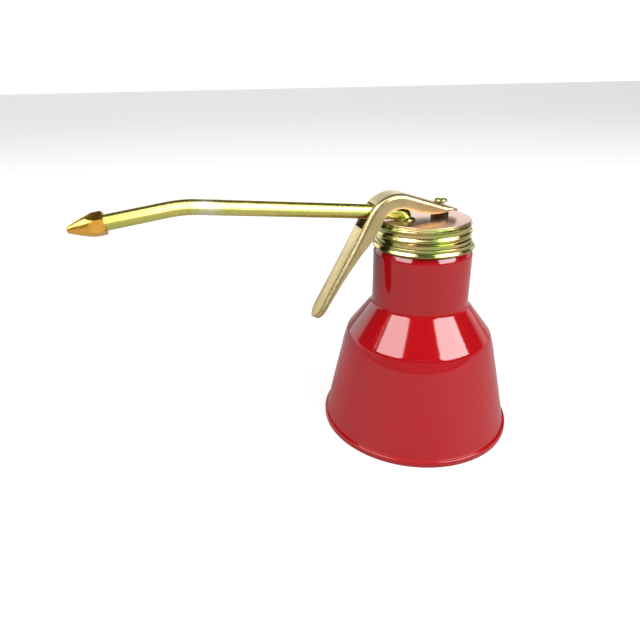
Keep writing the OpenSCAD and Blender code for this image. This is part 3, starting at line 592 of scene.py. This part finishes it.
def half_section(u):
    """Half of the channel's section, from the flange's edge to the middle of the web."""
    from_end = min(u, lever_l - u, HALF)
    wide = max(0.25, sqrt(HALF ** 2 - (HALF - from_end) ** 2))
    deep = flange(u)
    r = min(CORNER, 0.8 * wide, 0.8 * deep)
    side = [(wide, deep - (deep - r) * i / 3) for i in range(3)]
    turn = [(wide - r + r * cos(a), r - r * sin(a)) for a in [radians(15 * i) for i in range(7)]]
    flat = wide - r
    web = [(min(flat, WINDOW_HALF) * 0.999, 0.0), (min(flat * 0.7, 3.0), 0.0),
           (min(flat * 0.45, SLOT_HALF), 0.0), (min(flat * 0.2, 0.9), 0.0)]
    crown = CROWN * min(1.0, max(0.0, (u - hump_to) / 16))
    return [(y, d + crown * (y / HALF) ** 2 * max(0.0, 1 - d / r)) for y, d in side + turn + web]


SLOT_U = (4.75, 11.1)
WINDOW_U = (42.3, 53.7)
ROW_STEP = 0.62
stations = [HALF * (1 - cos(radians(7.5 * i))) for i in range(1, 12)]
u = HALF
while u < lever_l - HALF:
    stations.append(u)
    u += ROW_STEP
stations += [lever_l - HALF * (1 - cos(radians(7.5 * i))) for i in range(12, 0, -1)]
stations = sorted(s for s in stations if all(abs(s - m) > 0.3 for m in SLOT_U + WINDOW_U))
stations = sorted(stations + list(SLOT_U + WINDOW_U))

lever = bmesh.new()


def place(verts, u):
    """Puts a row of verts on the section at u, mirrored about the middle."""
    at, out = on_lever(u)
    rows = half_section(u)
    rows = [(-y, d) for y, d in rows] + [(0.0, 0.0)] + [(y, d) for y, d in reversed(rows)]
    for vert, (y, d) in zip(verts, rows):
        p = at - d * out
        vert.co = Vector((-p.x, y, p.y)) * MM


row = [lever.verts.new() for _ in range(2 * len(half_section(HALF)) + 1)]
place(row, stations[0])
edges = [lever.edges.new(pair) for pair in zip(row, row[1:])]
spans = []
for u0, u1 in zip(stations, stations[1:]):
    made = bmesh.ops.extrude_edge_only(lever, edges=edges)["geom"]
    fresh = {v: None for v in made if isinstance(v, bmesh.types.BMVert)}
    lever.verts.ensure_lookup_table()
    step = []
    for vert in row:
        step.append(next(e.other_vert(vert) for e in vert.link_edges if e.other_vert(vert) in fresh))
    place(step, u1)
    edges = [next(e for e in a.link_edges if e.other_vert(a) is b) for a, b in zip(step, step[1:])]
    spans.append((u0, u1, row, step))
    row = step

cut = []
for u0, u1, first, second in spans:
    for i in range(len(first) - 1):
        inside_window = WINDOW_U[0] - 0.01 <= u0 and u1 <= WINDOW_U[1] + 0.01
        inside_slot = SLOT_U[0] - 0.01 <= u0 and u1 <= SLOT_U[1] + 0.01
        reach = max(abs(first[i].co.y), abs(first[i + 1].co.y)) / MM
        if (inside_window and reach < WINDOW_HALF + 0.01) or (inside_slot and reach < SLOT_HALF + 0.01):
            cut += set(first[i].link_faces) & set(second[i + 1].link_faces)
bmesh.ops.delete(lever, geom=list(set(cut)), context="FACES")
bmesh.ops.contextual_create(lever, geom=[e for e in lever.edges if e.is_boundary and all(
    v.co.x > (TIP_OUT + ROD_X - 0.3) * MM for v in e.verts)])
bmesh.ops.recalc_face_normals(lever, faces=lever.faces)
highest = max(lever.faces, key=lambda f: f.calc_center_median().z)
if highest.normal.z < 0:
    bmesh.ops.reverse_faces(lever, faces=lever.faces)

# Pressed steel with a matt yellow chromate: satin gold, turning to copper at the rear of the arm
satin_gold = coat("satin_zinc_chromate")
where = add(satin_gold, "TexCoord")
drift = add(satin_gold, "TexNoise", {"Vector": where.outputs["Object"], "Scale": 90, "Detail": 3})
tint = add(satin_gold, "MapRange", {0: drift.outputs[0], 1: 0.36, 2: 0.64})
gold = add(satin_gold, "Mix", {0: tint.outputs[0], 6: tone("#BAA876"), 7: tone("#C9B98A")}, data_type="RGBA")
metres = add(satin_gold, "SeparateXYZ", {0: where.outputs["Object"]})
rear = add(satin_gold, "MapRange", {0: metres.outputs["X"], 1: -0.016, 2: 0.004, 3: 0.0, 4: 0.7})
colour = add(satin_gold, "Mix", {0: rear.outputs[0], 6: gold.outputs[2], 7: tone("#BE9874")},
             data_type="RGBA")
grain = add(satin_gold, "TexNoise", {"Vector": where.outputs["Object"], "Scale": 1100, "Detail": 4})
satin = add(satin_gold, "MapRange", {0: grain.outputs[0], 1: 0.3, 2: 0.7, 3: 0.27, 4: 0.42})
skin = add(satin_gold, "Bump", {"Strength": 0.12, "Distance": 0.0002, "Height": grain.outputs[0]})
surface(satin_gold, {"Base Color": colour.outputs[2], "Metallic": 1.0, "Roughness": satin.outputs[0],
                     "Normal": skin.outputs[0]})

# Its inner side is painted dark brown with a faint mottle: painted shade for the deep shadow inside the
# channel, under the lever
inner_painted_shade = coat("steel_painted_shade")
where = add(inner_painted_shade, "TexCoord")
shade_mottle = add(inner_painted_shade, "TexNoise", {"Vector": where.outputs["Object"], "Scale": 300, "Detail": 4})
colour = add(inner_painted_shade, "Mix", {0: shade_mottle.outputs[0], 6: tone("#33291C"), 7: tone("#66543A")}, data_type="RGBA")
skin = add(inner_painted_shade, "Bump", {"Strength": 0.15, "Distance": 0.0002, "Height": shade_mottle.outputs[0]})
surface(inner_painted_shade, {"Base Color": colour.outputs[2], "Metallic": 0.8, "Roughness": 0.45,
                  "Normal": skin.outputs[0]})
channel = piece("channel_lever", lever, "lever", satin_gold, ["lever"], sharp=60)
channel.data.materials.append(inner_painted_shade)
wall = channel.modifiers.new("sheet", "SOLIDIFY")
wall.thickness, wall.offset, wall.use_even_offset = GAUGE * MM, -1, True
# The inner faces and rims take the second slot, the painted shade
wall.material_offset = 1
soft = channel.modifiers.new("edges", "BEVEL")
soft.width, soft.segments, soft.limit_method, soft.angle_limit = 0.18 * MM, 2, "ANGLE", radians(55)

# ---------------------------------------------------------------------------------------------
# Pump rod: a ground steel rod through a gland in the disc, with a domed head pressed on its end
# that the lever lifts. The gland nut is brass.

head_lo, head_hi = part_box("rod_head")
HEAD_FOOT, HEAD_TOP = head_lo.z / MM, head_hi.z / MM
button = turned([
    (0.0, HEAD_FOOT, 0), (2.2, HEAD_FOOT, 0.2), (3.05, HEAD_FOOT + 0.55, 0.25), (2.75, HEAD_TOP - 0.45, 0.6),
    (1.6, HEAD_TOP, 0.6), (0.0, HEAD_TOP, 0),
], steps=64)
bmesh.ops.translate(button, verts=button.verts, vec=(ROD_X * MM, 0, 0))
piece("rod_button", button, "plunger", chromate, ["rod_head"])

# Ground and drawn steel: cool grey, with fine marks of the wheel
steel = coat("ground_steel")
where = add(steel, "TexCoord")
marks = add(steel, "Mapping", {"Vector": where.outputs["Object"], "Scale": (1.0, 1.0, 6.0)})
grain = add(steel, "TexNoise", {"Vector": marks.outputs[0], "Scale": 700, "Detail": 3})
colour = add(steel, "Mix", {0: grain.outputs[0], 6: tone("#A8ABB0"), 7: tone("#C4C6CA")}, data_type="RGBA")
satin = add(steel, "MapRange", {0: grain.outputs[0], 1: 0.3, 2: 0.7, 3: 0.18, 4: 0.32})
skin = add(steel, "Bump", {"Strength": 0.08, "Distance": 0.0001, "Height": grain.outputs[0]})
surface(steel, {"Base Color": colour.outputs[2], "Metallic": 1.0, "Roughness": satin.outputs[0],
                "Normal": skin.outputs[0]})
for node in ("plunger_rod", "return_spring", "outlet_spring", "inlet_ball", "outlet_ball", "ball_stop_pin"):
    frame["nodes"][node].material_slots[0].material = steel

# The same brass under the lever, painted a mottled dark brown: painted shade for the shadow the lever casts
# over the nut
brass_painted_shade = coat("brass_painted_dark_shade")
where = add(brass_painted_shade, "TexCoord")
shade_mottle = add(brass_painted_shade, "TexNoise", {"Vector": where.outputs["Object"], "Scale": 500, "Detail": 4})
colour = add(brass_painted_shade, "Mix", {0: shade_mottle.outputs[0], 6: tone("#2E2213"), 7: tone("#6B5228")}, data_type="RGBA")
skin = add(brass_painted_shade, "Bump", {"Strength": 0.2, "Distance": 0.0002, "Height": shade_mottle.outputs[0]})
surface(brass_painted_shade, {"Base Color": colour.outputs[2], "Metallic": 0.6, "Roughness": 0.5,
                  "Normal": skin.outputs[0]})
frame["nodes"]["gland_nut"].material_slots[0].material = brass_painted_shade
for node in ("barrel_head", "foot_valve", "strainer", "outlet_block", "piston_top_washer",
             "piston_bottom_washer", "piston_nut"):
    frame["nodes"][node].material_slots[0].material = brass

# ---------------------------------------------------------------------------------------------
# Pump under the cap: a zinc-plated barrel and dip tube, brass fittings, and a leather cup between two
# washers. These pieces keep their CAD shapes and only take a finish.

# Bright zinc: bluish grey with the faint spangle of the plating
zinc = coat("bright_zinc_plate")
where = add(zinc, "TexCoord")
spangle = add(zinc, "TexVoronoi", {"Vector": where.outputs["Object"], "Scale": 260})
colour = add(zinc, "Mix", {0: spangle.outputs["Distance"], 6: tone("#A4A9B0"), 7: tone("#BFC3C8")},
             data_type="RGBA")
skin = add(zinc, "Bump", {"Strength": 0.06, "Distance": 0.0001, "Height": spangle.outputs["Distance"]})
surface(zinc, {"Base Color": colour.outputs[2], "Metallic": 1.0, "Roughness": 0.34,
               "Normal": skin.outputs[0]})
for node in ("pump_barrel", "dip_tube"):
    frame["nodes"][node].material_slots[0].material = zinc

# Oiled cup leather: dark brown, with pores and a dull shine
leather = coat("oiled_cup_leather")
where = add(leather, "TexCoord")
pores = add(leather, "TexVoronoi", {"Vector": where.outputs["Object"], "Scale": 1500})
colour = add(leather, "Mix", {0: pores.outputs["Distance"], 6: tone("#3E2412"), 7: tone("#6E4526")},
             data_type="RGBA")
skin = add(leather, "Bump", {"Strength": 0.35, "Distance": 0.0002, "Height": pores.outputs["Distance"]})
surface(leather, {"Base Color": colour.outputs[2], "Roughness": 0.5, "Normal": skin.outputs[0]})
frame["nodes"]["piston_cup"].material_slots[0].material = leather
